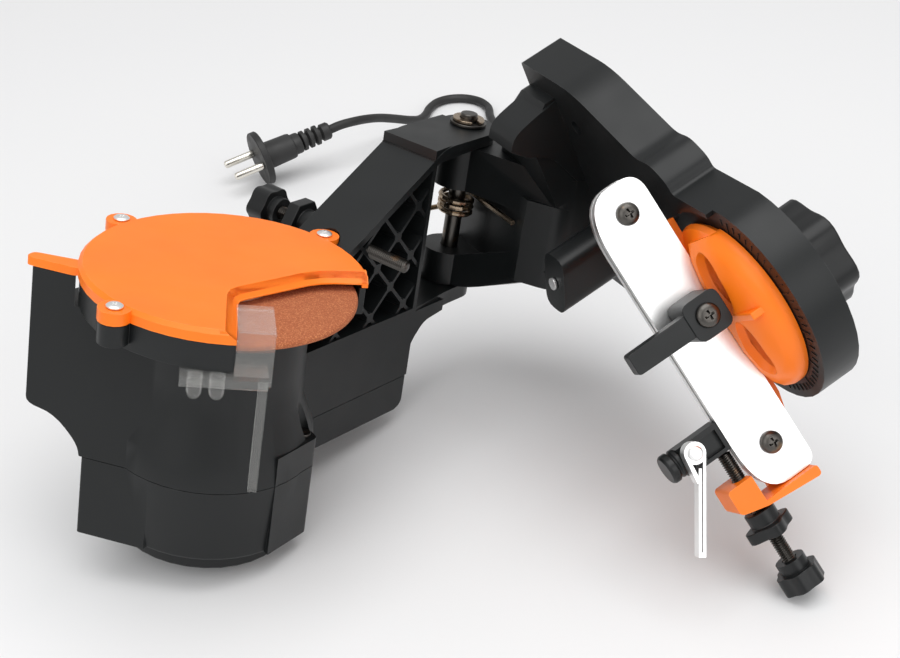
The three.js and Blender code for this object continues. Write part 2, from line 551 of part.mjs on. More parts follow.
// ---- vise ---------------------------------------------------------------------------------
function viseBody() {
  const dome = turned([[0, GAP], [37, GAP], [38.5, 2.5], [37.5, 5], [30, 8.6], [16, 10.7], [0, 11]], 40);
  const wall = panel([[-44, 5], [-44, 28, 8], [-30, 31, 8], [73, 31], [73, 14, 3], [40, 6]],
    -11, -RAIL_FRONT - 3.6);
  const foot = block(-30, 30, -11, -4, 4, 12);
  const nearEnd = panel([[RAIL_HALF + GAP, 14, 1.5], [74.5, 14, 2], [72, 40], [69, 52, 2], [58, 52, 2],
    [58, RAIL_HIGH + 0.5], [RAIL_HALF + GAP, RAIL_HIGH + 0.5]], -8, 7.5);
  const nutRoom = (x) => alongY(rod(6, -20, -RAIL_FRONT, 12)).translate(x, 0, RAIL_SCREW_Z);
  return cut(join(dome, wall, foot, nearEnd),
    ...RAIL_SCREWS.map(nutRoom),
    alongY(rod(7, -20, -RAIL_FRONT, 12)).translate(LEVER.x, 0, LEVER.z),
    alongX(rod(THREAD_R + GAP, 50, 90)).translate(0, 0, SCREW_Z),
    rod(PIN_R + GAP, -5, 5),
    slab(hexagon(7.5), 4, 40));
}
const BOLT_END = PLATE_BOTTOM - PROTRACTOR - 13.5;
const swivelBolt = () => join(rod(PIN_R, BOLT_END, 4.5), slab(hexagon(7), 4.4, 9));

function rail(y0) {
  const plate = panel([[-RAIL_HALF, RAIL_LOW, 9], [RAIL_HALF, RAIL_LOW, 6], [RAIL_HALF, RAIL_HIGH, 24],
    [-RAIL_HALF, RAIL_HIGH, 24]], y0, y0 + RAIL_T, 8);
  const hole = (x, z, r) => alongY(rod(r, -20, 20)).translate(x, 0, z);
  return cut(plate, ...RAIL_SCREWS.map((x) => hole(x, RAIL_SCREW_Z, 2.5)), hole(LEVER.x, LEVER.z, 3.3));
}
const RAIL_FRONT = SLOT / 2 + RAIL_T;
const railScrew = (x) => alongY(join(rod(2.2, -RAIL_FRONT - 3.5, RAIL_FRONT + 0.5),
  turned([[0, RAIL_FRONT + GAP], [4.7, RAIL_FRONT + GAP], [4.4, RAIL_FRONT + 1.8], [2.6, RAIL_FRONT + 2.9],
    [0, RAIL_FRONT + 3.1]], 20))).translate(x, 0, RAIL_SCREW_Z);
const railNut = (x) => alongY(cut(slab(hexagon(4.6), -RAIL_FRONT - 3.3, -RAIL_FRONT - GAP),
  rod(2.5, -20, 20))).translate(x, 0, RAIL_SCREW_Z);

function clampLever() {
  const hub = panel([[-8.5, -8.5, 4], [8.5, -8.5, 4], [8.5, 8.5, 4], [-8.5, 8.5, 4]], RAIL_FRONT + GAP, 21);
  const arm = panel([[-5, 0], [5, 0], [4.6, 36, 1.5], [-4.6, 36, 1.5]], 14, 20.4);
  return cut(join(hub, arm), alongY(rod(3.3, 0, 30))).translate(LEVER.x, 0, LEVER.z);
}
const leverHead = () => turned([[0, 21.3], [5, 21.3], [4.6, 22.8], [0, 23.6]], 20);
const leverScrew = () => alongY(join(rod(3, -9, 21.5), leverHead())).translate(LEVER.x, 0, LEVER.z);
const leverNut = () => alongY(cut(slab(hexagon(5.6), -RAIL_FRONT - 4, -RAIL_FRONT - GAP), rod(3.3, -20, 20)))
  .translate(LEVER.x, 0, LEVER.z);

function chainStop() {
  const { x0, x1, top } = STOP_BAR;
  const bar = block(x0, x1, -3.6, 3.6, RAIL_HIGH + GAP, top);
  const window = block(x0 + 2.2, x1 - 1.6, 1.2, 5, RAIL_HIGH + 2, 50);
  const tongue = block(x0, x1, -0.7, 0.7, 22, RAIL_HIGH + 1);
  return cut(join(cut(bar, window), tongue), alongY(rod(2.3, -10, 10)).translate(PAWL.x, 0, PAWL.z));
}
const stopKnob = () => turned([[0, 0], [6.2, 0], [6.2, 1.8], [5.5, 2.2], [5.5, 2.9], [6.4, 3.3], [6.4, 5.8],
  [5.6, 6.8], [0, 6.8]], 24).translate(38, 0, STOP_BAR.top + GAP);
const pinHead = () => turned([[0, 12.1], [3, 12.1], [3, 13.3], [2.2, 13.9], [0, 13.9]], 20);
const pawlPin = () => alongY(join(rod(2, -3, 12.3), pinHead())).translate(PAWL.x, 0, PAWL.z);

const PAWL_HANG = 33.6;          // degrees from the rails to the hanging pawl
function chainPawl() {
  const sheet = 1.2;
  const loop = ring(2.4, 4.6, PAWL.y0, PAWL.y1, 20);
  const leg = block(0, PAWL.long, 3.9 - sheet / 2, 3.9 + sheet / 2, PAWL.y0, PAWL.y1);
  const back = block(6, PAWL.long, 1.5, 2.7, PAWL.y0, PAWL.y1);
  const returnFold = slab([[3, -3.6], [12, 1], [12, 3], [1, -3]], PAWL.y0, PAWL.y1);
  const web = block(PAWL.long - 2, PAWL.long, 1.5, 4, PAWL.y0, PAWL.y1);
  return cut(join(loop, leg, back, returnFold, web), rod(2.4, 0, 20, 20)).rotateX(-Math.PI / 2)
    .rotateY(-rad(PAWL_HANG)).translate(PAWL.x, 0, PAWL.z);
}

const onScrew = (geometry) => alongX(geometry).translate(0, 0, SCREW_Z);
const adjustScrew = () => onScrew(rod(THREAD_R, STOP_BAR.x1 + 0.6, 108));
const adjustKnob = () => onScrew(cut(join(rod(6.4, 97, 102.1), lobed(9.4, 6, 1.1, 102, 110)),
  rod(THREAD_R + GAP, 90, 108.4)));
const adjustLockNut = () => onScrew(cut(join(rod(6.6, 72.8, 79.1), lobed(10.4, 4, 2.6, 79, 84)),
  rod(THREAD_R + GAP, 70, 90)));

// ---- assembly -----------------------------------------------------------------------------
const grinder = new THREE.Group();
const base = new THREE.Group();          // base frame
const hinge = new THREE.Group();         // hinge frame
hinge.rotation.x = -rad(90 + HEAD_TILT);
const head = new THREE.Group();          // head frame
head.rotation.z = -rad(HEAD_RAISED);
const vise = new THREE.Group();          // vise frame
vise.position.set(SWIVEL_X, 0, PROTRACTOR);
vise.rotation.z = rad(VISE_SWIVEL - 90);
grinder.add(base);
base.add(hinge, vise);
hinge.add(head);

piece(head, 'head_housing', headHousing(), blackPlastic);
piece(head, 'lower_cover', lowerCover(), blackPlastic);
piece(head, 'motor_end_cap', endCap(), blackPlastic);
piece(head, 'housing_screw', housingScrew(), darkSteel);
piece(head, 'power_switch_rocker', switchRocker(), blackPlastic);
piece(head, 'motor_stator', motorStator(), coreSteel);
piece(head, 'front_bearing', bearing(-20.3, -12.9), brightSteel);
piece(head, 'rear_bearing', bearing(-103.3, -97.3), brightSteel);
piece(head, 'rotor_shaft', rotorShaft(), coreSteel);
piece(head, 'inner_wheel_flange', innerFlange(), brightSteel);
piece(head, 'grinding_wheel', grindingWheel(), abrasive);
piece(head, 'outer_wheel_flange', outerFlange(), brightSteel);
piece(head, 'wheel_nut', wheelNut(), brightSteel);
piece(head, 'guard_back', guardBack(), blackPlastic);
piece(head, 'guard_cover', guardCover(), orangePlastic);
EARS.forEach((angle, i) => piece(head, `guard_screw_${i + 1}`, guardScrew(angle), brightSteel));
piece(head, 'spark_shield', sparkShield(), clearPlastic);
[-11.5, -3].forEach((along, i) => piece(head, `shield_peg_${i + 1}`, shieldPeg(along), clearPlastic));
piece(head, 'depth_screw', depthScrew(), darkSteel);
piece(head, 'depth_screw_knob', depthKnob(), blackPlastic);
piece(head, 'depth_lock_nut', depthLockNut(), blackPlastic);
piece(head, 'cord_strain_relief', strainRelief(), cordBlack);

piece(hinge, 'hinge_pin', hingePin(), darkSteel);
piece(hinge, 'hinge_washer', hingeWasher(), darkSteel);
piece(hinge, 'hinge_clip', hingeClip(), springSteel);
piece(hinge, 'torsion_spring', torsionSpring(), springSteel);

piece(base, 'base_casting', baseCasting(), blackPlastic);
piece(base, 'post_screw', postScrew(), brightSteel);
piece(base, 'vise_lock_knob', viseLockKnob(), blackPlastic);

piece(vise, 'vise_body', viseBody(), orangePlastic);
piece(vise, 'swivel_bolt', swivelBolt(), darkSteel);
piece(vise, 'front_rail', rail(SLOT / 2), brightSteel);
piece(vise, 'rear_rail', rail(-SLOT / 2 - RAIL_T), brightSteel);
RAIL_SCREWS.forEach((x, i) => {
  piece(vise, `rail_screw_${i + 1}`, railScrew(x), darkSteel);
  piece(vise, `rail_nut_${i + 1}`, railNut(x), darkSteel);
});
piece(vise, 'clamp_lever', clampLever(), blackPlastic);
piece(vise, 'clamp_lever_screw', leverScrew(), darkSteel);
piece(vise, 'clamp_lever_nut', leverNut(), darkSteel);
piece(vise, 'chain_stop', chainStop(), blackPlastic);
piece(vise, 'stop_knob', stopKnob(), blackPlastic);
piece(vise, 'pawl_pin', pawlPin(), brightSteel);
piece(vise, 'chain_pawl', chainPawl(), brightSteel);
piece(vise, 'adjusting_screw', adjustScrew(), darkSteel);
piece(vise, 'adjusting_knob', adjustKnob(), blackPlastic);
piece(vise, 'adjusting_lock_nut', adjustLockNut(), blackPlastic);

// Lay the grinder down: the hinge pin leans a little from upright, the arm points left and forward.
const PIN_LEAN = 11;
const PIN_LEAN_TOWARDS = 29;
const ARM_HEADING = 231.9;
const pinUp = new THREE.Vector3(
  ...around(Math.sin(rad(PIN_LEAN)), rad(PIN_LEAN_TOWARDS)),
  Math.cos(rad(PIN_LEAN)),
);
const armOut = new THREE.Vector3(...around(1, rad(ARM_HEADING)), 0);
armOut.addScaledVector(pinUp, -armOut.dot(pinUp)).normalize();
const lying = new THREE.Matrix4().makeBasis(armOut, pinUp.clone().cross(armOut), pinUp);
grinder.updateMatrixWorld(true);
lying.multiply(head.matrixWorld.clone().invert());
grinder.applyMatrix4(lying);

// The hinge pin stands where it puts the middle of the footprint at the origin.
const PIN_PLACE = [7.3, 87.5];
grinder.updateMatrixWorld(true);
const lowest = new THREE.Box3().setFromObject(grinder, true).min.z;
grinder.position.add(new THREE.Vector3(...PIN_PLACE, -lowest));

// ---- mains lead, on the table behind the grinder --------------------------------------------
const CORD_R = 2.8;
const ON_TABLE = CORD_R + 0.1;
const LEAD = [[-118, 77, 24.5], [-133, 89, 17.5], [-147, 104, 8.4], [-154, 123, 3.3], [-147, 143, ON_TABLE],
  [-125, 155, ON_TABLE], [-85, 159, ON_TABLE], [-42, 169, ON_TABLE], [-3, 190, ON_TABLE], [28, 222, ON_TABLE],
  [46, 256, ON_TABLE], [52.5, 296, ON_TABLE]];
const TAIL = [[52, 314, 6.5], [48.5, 330, 3.6], [43.5, 349, ON_TABLE], [38, 366, ON_TABLE],
  [33.5, 388, ON_TABLE], [32.8, 402, ON_TABLE], [28, 413, ON_TABLE], [18.5, 419.6, ON_TABLE], [7.5, 419.8, ON_TABLE],
  [-1.5, 414, ON_TABLE], [-6.5, 404, 3], [-9, 393, 3.4], [-13, 382, 5], [-19.5, 371, 9.5], [-28.4, 360, 15.5],
  [-36.9, 349.7, 20.8], [-44.6, 339.2, 25], [-52.6, 330.4, 27.4], [-60.7, 325, 27.6]];
const HANK = { x: 98.3, y: 303, r0: 19.6, r1: 41.8, top: 11.6 };   // round coil of the spare length
const PLUG_END = [-67.8, 321.7, 26];     // where the lead enters the plug
const PLUG_AIM = [-40.8, -19.1, -9];     // from there towards the pins
const FLANGE = { r: 16.8, z0: 44, z1: 48.5 };
const PIN_SPAN = 9.5;

const lead = new THREE.Group();
grinder.updateMatrixWorld(true);
const gland = head.localToWorld(new THREE.Vector3(CORD_X, RELIEF_TAIL - GAP, CORD_Z));
piece(lead, 'cord_lead', wire([gland.toArray(), ...LEAD], CORD_R, 36), cordBlack);
piece(lead, 'cord_coil', ring(HANK.r0, HANK.r1, 0, HANK.top).translate(HANK.x, HANK.y, 0), cordBlack);

const plug = new THREE.Group();
plug.position.set(...PLUG_END);
const aim = new THREE.Vector3(...PLUG_AIM).normalize();
const across = new THREE.Vector3(0, 0, 1).cross(aim).normalize();
plug.setRotationFromMatrix(new THREE.Matrix4().makeBasis(across, aim.clone().cross(across), aim));
lead.add(plug);
const plugEntry = new THREE.Vector3(...PLUG_END).addScaledVector(aim, -GAP);
piece(lead, 'cord_tail', wire([...TAIL, plugEntry.toArray()], CORD_R, 28), cordBlack);
piece(plug, 'plug_strain_relief', turned([[0, 0], [4.4, 0], [6.6, 20], [0, 20]], SMALL), cordBlack);
piece(plug, 'plug_body', turned([[0, 20 + GAP], [7.6, 20 + GAP], [9.6, FLANGE.z0], [FLANGE.r, FLANGE.z0],
  [FLANGE.r, FLANGE.z1], [0, FLANGE.z1]]), cordBlack);
[-PIN_SPAN, PIN_SPAN].forEach((x, i) => piece(plug, `plug_pin_${i + 1}`,
  turned([[0, FLANGE.z1 + GAP], [2.4, FLANGE.z1 + GAP], [2.4, FLANGE.z1 + 18], [1.2, FLANGE.z1 + 19],
    [0, FLANGE.z1 + 19]], SMALL).translate(x, 0, 0), brightSteel));

const machine = new THREE.Group();
machine.add(grinder, lead);
export default machine;
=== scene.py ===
"""Electric saw chain grinder lying on its side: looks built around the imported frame."""
import json
import math

import bmesh
import bpy
from mathutils import Matrix, Vector


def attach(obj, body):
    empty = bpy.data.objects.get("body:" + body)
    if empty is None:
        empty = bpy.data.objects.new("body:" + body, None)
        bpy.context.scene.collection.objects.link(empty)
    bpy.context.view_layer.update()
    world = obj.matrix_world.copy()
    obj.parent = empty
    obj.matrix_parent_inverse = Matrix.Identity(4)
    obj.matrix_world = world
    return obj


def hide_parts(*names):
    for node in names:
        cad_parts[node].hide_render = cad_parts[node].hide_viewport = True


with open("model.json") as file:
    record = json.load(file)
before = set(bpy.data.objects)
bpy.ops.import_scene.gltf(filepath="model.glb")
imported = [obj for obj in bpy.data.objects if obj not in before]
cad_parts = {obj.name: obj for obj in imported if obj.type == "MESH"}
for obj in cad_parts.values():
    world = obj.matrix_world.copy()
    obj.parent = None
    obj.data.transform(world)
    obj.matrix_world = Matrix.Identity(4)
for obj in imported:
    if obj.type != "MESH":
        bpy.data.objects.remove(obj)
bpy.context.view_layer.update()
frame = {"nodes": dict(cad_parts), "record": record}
record = frame["record"]
joints = {j["name"]: j for j in record["behaviour"]["joints"]}
body_of = {node: body for body, nodes in record["behaviour"]["bodies"].items() for node in nodes}
slot_of = {part["node"]: part["material_slot"] for part in record["subparts"]}
MM = 0.001


# ---- working frames, in millimetres ----------------------------------------------------------
def axis_of(joint):
    return Vector(joints[joint]["axis"]).normalized()


def place_of(joint):
    return Vector(joints[joint]["pos_m"])


def frame_at(origin, x, z):
    """Matrix from local millimetres to the row's metres, with z exact and x as near as it can be."""
    z = z.normalized()
    x = (x - x.dot(z) * z).normalized()
    m = Matrix((x, z.cross(x), z)).transposed().to_4x4()
    m.translation = origin
    return m @ Matrix.Scale(MM, 4)


hinge_at = place_of("head_swing")
wheel_at = place_of("wheel_spin")
swivel_at = place_of("vise_swivel")
HEAD = frame_at(hinge_at, wheel_at - hinge_at, -axis_of("head_swing"))
WHEEL = frame_at(wheel_at, wheel_at - hinge_at, -axis_of("head_swing"))
VISE = frame_at(swivel_at, axis_of("adjusting_screw_turn"), axis_of("vise_swivel"))
ALONG_X = Matrix.Rotation(math.pi / 2, 4, "Y")     # local Z becomes X
ALONG_Y = Matrix.Rotation(-math.pi / 2, 4, "X")    # local Z becomes Y


def moved(x, y, z):
    return Matrix.Translation((x, y, z))


# ---- camera ------------------------------------------------------------------------------------
CAMERA_FROM_WHEEL = Vector((0.0904, -0.5847, 0.3270))     # metres
CAMERA_TILT = math.radians(30.85)
CAMERA_ROLL = math.radians(-1.47)
CAMERA_LENS = 66.36
SENSOR_WIDTH = 36


def add_camera():
    """Camera before and above the wheel, tilted down, with a slight roll."""
    right = Vector((1, 0, 0))
    down = Vector((0, -math.sin(CAMERA_TILT), -math.cos(CAMERA_TILT)))
    forward = Vector((0, math.cos(CAMERA_TILT), -math.sin(CAMERA_TILT)))
    side = math.cos(CAMERA_ROLL) * right - math.sin(CAMERA_ROLL) * down
    up = -(math.sin(CAMERA_ROLL) * right + math.cos(CAMERA_ROLL) * down)
    data = bpy.data.cameras.new("camera")
    data.lens = CAMERA_LENS
    data.sensor_width = SENSOR_WIDTH
    camera = bpy.data.objects.new("camera", data)
    camera.matrix_world = Matrix((side, up, -forward)).transposed().to_4x4()
    camera.matrix_world.translation = wheel_at + CAMERA_FROM_WHEEL
    bpy.context.collection.objects.link(camera)
    bpy.context.scene.camera = camera


add_camera()


# ---- materials ---------------------------------------------------------------------------------
class Shader:
    """A Principled material with a few helpers for procedural detail in object coordinates."""

    def __init__(self, name, color, roughness, metallic=0.0):
        self.material = bpy.data.materials.new(name)
        self.material.use_nodes = True
        self.nodes = self.material.node_tree.nodes
        self.links = self.material.node_tree.links
        self.surface = self.nodes["Principled BSDF"]
        self.surface.inputs["Base Color"].default_value = (*color, 1)
        self.surface.inputs["Roughness"].default_value = roughness
        self.surface.inputs["Metallic"].default_value = metallic
        self.place = self.nodes.new("ShaderNodeTexCoord").outputs["Object"]
        self.normal = None

    def noise(self, scale, detail=4.0, stretch=None):
        source = self.place
        if stretch:
            mapping = self.nodes.new("ShaderNodeMapping")
            mapping.inputs["Scale"].default_value = stretch
            self.links.new(source, mapping.inputs["Vector"])
            source = mapping.outputs["Vector"]
        noise = self.nodes.new("ShaderNodeTexNoise")
        noise.inputs["Scale"].default_value = scale
        noise.inputs["Detail"].default_value = detail
        self.links.new(source, noise.inputs["Vector"])
        return noise.outputs["Fac"]

    def spread(self, value, low, high, low_to=0.0, high_to=1.0):
        ramp = self.nodes.new("ShaderNodeMapRange")
        limits = (("From Min", low), ("From Max", high), ("To Min", low_to), ("To Max", high_to))
        for name, number in limits:
            ramp.inputs[name].default_value = number
        self.links.new(value, ramp.inputs["Value"])
        return ramp.outputs["Result"]

    def blend(self, factor, first, second):
        mix = self.nodes.new("ShaderNodeMix")
        mix.data_type = "RGBA"
        self.links.new(factor, mix.inputs["Factor"])
        for socket, color in ((mix.inputs["A"], first), (mix.inputs["B"], second)):
            if isinstance(color, tuple):
                socket.default_value = (*color, 1)
            else:
                self.links.new(color, socket)
        return mix.outputs["Result"]

    def bump(self, height, strength, distance):
        bump = self.nodes.new("ShaderNodeBump")
        bump.inputs["Strength"].default_value = strength
        bump.inputs["Distance"].default_value = distance
        self.links.new(height, bump.inputs["Height"])
        if self.normal:
            self.links.new(self.normal, bump.inputs["Normal"])
        self.normal = bump.outputs["Normal"]
        self.links.new(self.normal, self.surface.inputs["Normal"])

    def color(self, value):
        self.links.new(value, self.surface.inputs["Base Color"])

    def roughness(self, value):
        self.links.new(value, self.surface.inputs["Roughness"])

    def edges(self, width):
        """0 on flats, rising to 1 within the width of an edge."""
        rounded = self.nodes.new("ShaderNodeBevel")
        rounded.samples = 4
        rounded.inputs["Radius"].default_value = width * MM
        dot = self.nodes.new("ShaderNodeVectorMath")
        dot.operation = "DOT_PRODUCT"
        self.links.new(rounded.outputs["Normal"], dot.inputs[0])
        self.links.new(self.nodes.new("ShaderNodeNewGeometry").outputs["Normal"], dot.inputs[1])
        return self.spread(dot.outputs["Value"], 0.995, 0.9)


def plastic(name, color, edge_wear_and_highlight, roughness, grain=2600, depth=0.00004, gloss=0.36):
    """Moulded plastic: fine grain, slow change of shade, paler edges (a painted edge highlight, made patchy
    like wear) and dusty smears.
    """
    s = Shader(name, color, roughness)
    s.surface.inputs["Specular IOR Level"].default_value = gloss
    shade = s.blend(s.spread(s.noise(28, 3), 0.35, 0.7), color, tuple(c * 1.12 for c in color))
    # Paler edges: a painted highlight where rounded edges catch light, broken into patches like wear by the
    # noise.
    edge = s.nodes.new("ShaderNodeMath")
    edge.operation = "MULTIPLY"
    s.links.new(s.edges(0.5), edge.inputs[0])
    s.links.new(s.spread(s.noise(160, 5), 0.45, 0.62), edge.inputs[1])
    s.color(s.blend(edge.outputs[0], shade, edge_wear_and_highlight))
    s.roughness(s.spread(s.noise(60, 5), 0.3, 0.7, roughness - 0.03, roughness + 0.05))
    s.bump(s.noise(grain, 2), 0.3, depth)
    s.bump(s.noise(35, 2), 0.12, 0.0002)
    return s.material


def steel(name, color, stain, roughness):
    """Plated or blackened steel: stained in patches, over a fine grain."""
    s = Shader(name, color, roughness, 1.0)
    s.color(s.blend(s.spread(s.noise(140, 6), 0.6, 0.74), color, stain))
    grain = s.noise(2400, 3)
    s.roughness(s.spread(grain, 0.3, 0.7, roughness - 0.05, roughness + 0.08))
    s.bump(grain, 0.12, 0.00001)
    return s.material


def abrasive():
    """Bonded grinding wheel: pinkish brown grains and dark pores."""
    s = Shader("abrasive", (0.50, 0.17, 0.06), 0.95)
    cells = s.nodes.new("ShaderNodeTexVoronoi")
    cells.inputs["Scale"].default_value = 1500
    s.links.new(s.place, cells.inputs["Vector"])
    grains = s.blend(s.spread(s.noise(900, 3), 0.35, 0.65), (0.44, 0.125, 0.045), (0.62, 0.235, 0.095))
    pores = s.spread(cells.outputs["Distance"], 0.25, 0.6)
    s.color(s.blend(pores, grains, (0.36, 0.10, 0.038)))
    s.bump(cells.outputs["Distance"], 0.5, 0.00015)
    s.bump(s.noise(300, 4), 0.4, 0.0002)
    return s.material


def clear_plastic():
    s = Shader("clear_plastic", (0.95, 0.95, 0.92), 0.06)
    s.surface.inputs["Transmission Weight"].default_value = 0.85
    s.surface.inputs["IOR"].default_value = 1.3
    s.surface.inputs["Alpha"].default_value = 0.4
    s.roughness(s.spread(s.noise(60, 5), 0.35, 0.7, 0.03, 0.16))
    s.bump(s.noise(220, 3), 0.1, 0.00005)
    return s.material


def rubber():
    s = Shader("cord_rubber", (0.012, 0.012, 0.012), 0.55)
    s.color(s.blend(s.spread(s.noise(60, 3), 0.35, 0.7), (0.010, 0.010, 0.010), (0.022, 0.022, 0.022)))
    s.roughness(s.spread(s.noise(120, 4), 0.3, 0.7, 0.42, 0.62))
    s.bump(s.noise(1800, 2), 0.3, 0.00004)
    return s.material


def laminated():
    """Motor core: a stack of thin sheets."""
    s = Shader("core_steel", (0.18, 0.18, 0.19), 0.5, 0.9)
    s.bump(s.noise(800, 1, (0.2, 0.2, 6)), 0.5, 0.0002)
    s.color(s.blend(s.noise(60, 4), (0.12, 0.12, 0.13), (0.22, 0.21, 0.2)))
    return s.material


MATERIALS = {
    "black_plastic": plastic("black_plastic", (0.0065, 0.0076, 0.0080), (0.030, 0.032, 0.032), 0.38),
    "knob_plastic": plastic("knob_plastic", (0.0075, 0.0082, 0.0086), (0.032, 0.033, 0.033), 0.34, 1800),
    "switch_plastic": plastic("switch_plastic", (0.008, 0.008, 0.008), (0.03, 0.03, 0.03), 0.25,
                              2600, 0.00001),
    "orange_plastic": plastic("orange_plastic", (0.96, 0.195, 0.008), (1.0, 0.32, 0.06), 0.36,
                              1500, 0.00002),
    "clear_plastic": clear_plastic(),
    "abrasive": abrasive(),
    "bright_steel": steel("bright_steel", (0.96, 0.96, 0.955), (0.92, 0.915, 0.90), 0.34),
    "dark_steel": steel("dark_steel", (0.105, 0.098, 0.09), (0.24, 0.15, 0.085), 0.32),
    "spring_steel": steel("spring_steel", (0.42, 0.33, 0.24), (0.20, 0.13, 0.08), 0.28),
    "core_steel": laminated(),
    "cord_rubber": rubber(),
    "plug_metal": steel("plug_metal", (0.80, 0.77, 0.70), (0.60, 0.55, 0.47), 0.18),
}


# ---- mesh helpers ------------------------------------------------------------------------------
def new_piece(name, mesh, body, slot, *nodes):
    """A finished piece: material, ride on its body, and the CAD nodes that it stands for."""
    piece = bpy.data.objects.new(name, mesh)
    bpy.context.collection.objects.link(piece)
    mesh.materials.clear()
    mesh.materials.append(MATERIALS[slot])
    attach(piece, body)
    if nodes:
        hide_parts(*nodes)
    return piece


def smooth(mesh, angle=32):
    mesh.polygons.foreach_set("use_smooth", [True] * len(mesh.polygons))
    mesh.set_sharp_from_angle(angle=math.radians(angle))


def apply_modifiers(piece):
    """Leaves the piece with the mesh that its modifiers make."""
    bpy.context.view_layer.update()
    made = bpy.data.meshes.new_from_object(piece.evaluated_get(bpy.context.evaluated_depsgraph_get()))
    piece.modifiers.clear()
    piece.data = made


def bevelled(piece, width, segments=2, angle=32):
    """Rounds the piece's sharp edges, as a mould or a press leaves them."""
    bevel = piece.modifiers.new("edge", "BEVEL")
    bevel.width = width * MM
    bevel.segments = segments
    bevel.limit_method = "ANGLE"
    bevel.angle_limit = math.radians(angle)
    bevel.use_clamp_overlap = True
    apply_modifiers(piece)
    smooth(piece.data, 40)
    flats = piece.modifiers.new("flats", "WEIGHTED_NORMAL")
    flats.keep_sharp = True
    flats.weight = 100
    apply_modifiers(piece)
    return piece


def refined(node, width):
    """The CAD node's own shape with its flats joined and its edges rounded."""
    bm = bmesh.new()
    bm.from_mesh(frame["nodes"][node].data)
    bmesh.ops.transform(bm, matrix=frame["nodes"][node].matrix_world, verts=bm.verts)
    bmesh.ops.remove_doubles(bm, verts=bm.verts, dist=0.02 * MM)
    bmesh.ops.dissolve_limit(bm, angle_limit=math.radians(1.2), verts=bm.verts, edges=bm.edges)
    bmesh.ops.dissolve_degenerate(bm, dist=0.02 * MM, edges=bm.edges)
    mesh = bpy.data.meshes.new(node + "_skin")
    bm.to_mesh(mesh)
    bm.free()
    piece = new_piece(node + "_skin", mesh, body_of[node], slot_of[node], node)
    return bevelled(piece, width)


def lathe(profile, place, steps=64, lobes=None):
    """Mesh turned round local Z from [r, z] points, closed on the axis or on itself.

    lobes(angle, radius) scales the radius.
    """
    bm = bmesh.new()
    rings = []
    for r, z in profile:
        if r == 0:
            rings.append([bm.verts.new(place @ Vector((0, 0, z)))])
            continue
        ring = []
        for i in range(steps):
            a = 2 * math.pi * i / steps
            k = r * (lobes(a, r) if lobes else 1)
            ring.append(bm.verts.new(place @ Vector((k * math.cos(a), k * math.sin(a), z))))
        rings.append(ring)
    loops = zip(rings, rings[1:] + rings[:1]) if profile[0][0] else zip(rings, rings[1:])
    for low, high in loops:
        for i in range(steps):
            corners = [low[i % len(low)], low[(i + 1) % len(low)],
                       high[(i + 1) % len(high)], high[i % len(high)]]
            unique = list(dict.fromkeys(corners))
            if len(unique) > 2:
                bm.faces.new(unique)
    bmesh.ops.recalc_face_normals(bm, faces=bm.faces)
    mesh = bpy.data.meshes.new("turned")
    bm.to_mesh(mesh)
    bm.free()
    smooth(mesh)
    return mesh


def thread(length, place, r=3.0, pitch=1.0, depth=0.7, sides=28):
    """Screw thread on a closed rod from local Z 0 to length, with chamfered ends."""
    rows_per_turn = 6
    chamfer, end_scale = 1.2, 0.45
    bm = bmesh.new()
    rows = int(length / pitch * rows_per_turn) + 1
    rings = []
    for k in range(rows):
        z = length * k / (rows - 1)
        ends = min(1.0, z / chamfer + end_scale, (length - z) / chamfer + end_scale)
        ring = []
        for i in range(sides):
            a = 2 * math.pi * i / sides
            wave = abs(((z / pitch - i / sides) % 1.0) * 2 - 1)
            radius = (r - depth * (1 - wave)) * ends
            ring.append(bm.verts.new(place @ Vector((radius * math.cos(a), radius * math.sin(a), z))))
        rings.append(ring)
    for low, high in zip(rings, rings[1:]):
        for i in range(sides):
            bm.faces.new((low[i], low[(i + 1) % sides], high[(i + 1) % sides], high[i]))
    bm.faces.new(reversed(rings[0]))
    bm.faces.new(rings[-1])
    mesh = bpy.data.meshes.new("thread")
    bm.to_mesh(mesh)
    bm.free()
    smooth(mesh, 60)
    return mesh


def subtract(piece, cutters, operation="DIFFERENCE"):
    """Cuts closed meshes out of the piece, or with INTERSECT keeps what is inside them."""
    for mesh in cutters:
        tool = bpy.data.objects.new("cutter", mesh)
        bpy.context.collection.objects.link(tool)
        cut = piece.modifiers.new("cut", "BOOLEAN")
        cut.operation = operation
        cut.solver = "EXACT"
        cut.object = tool
        apply_modifiers(piece)
        bpy.data.objects.remove(tool)
    return piece


def loft(low_points, z0, high_points, z1, place):
    """Closed solid between two local outlines with as many points each."""
    bm = bmesh.new()
    low = [bm.verts.new(place @ Vector((x, y, z0))) for x, y in low_points]
    high = [bm.verts.new(place @ Vector((x, y, z1))) for x, y in high_points]
    bm.faces.new(reversed(low))
    bm.faces.new(high)
    for i in range(len(low)):
        k = (i + 1) % len(low)
        bm.faces.new((low[i], low[k], high[k], high[i]))
    bmesh.ops.recalc_face_normals(bm, faces=bm.faces)
    mesh = bpy.data.meshes.new("loft")
    bm.to_mesh(mesh)
    bm.free()
    return mesh


def prism(points, z0, z1, place, taper=1.0):
    """Closed prism of a local outline, scaled by taper at z0."""
    return loft([(x * taper, y * taper) for x, y in points], z0, points, z1, place)


def grown(points, by):
    """The outline with every side moved out by a distance."""
    corners = [Vector(p) for p in points]
    turn = sum(a.x * b.y - b.x * a.y for a, b in zip(corners, corners[1:] + corners[:1]))
    sign = 1 if turn > 0 else -1
    out = []
    for a, b, c in zip(corners[-1:] + corners[:-1], corners, corners[1:] + corners[:1]):
        sides = (b - a).normalized(), (c - b).normalized()
        n1, n2 = (Vector((sign * d.y, -sign * d.x)) for d in sides)
        out.append(b + (n1 + n2) * by / (1 + n1.dot(n2)))
    return [tuple(p) for p in out]


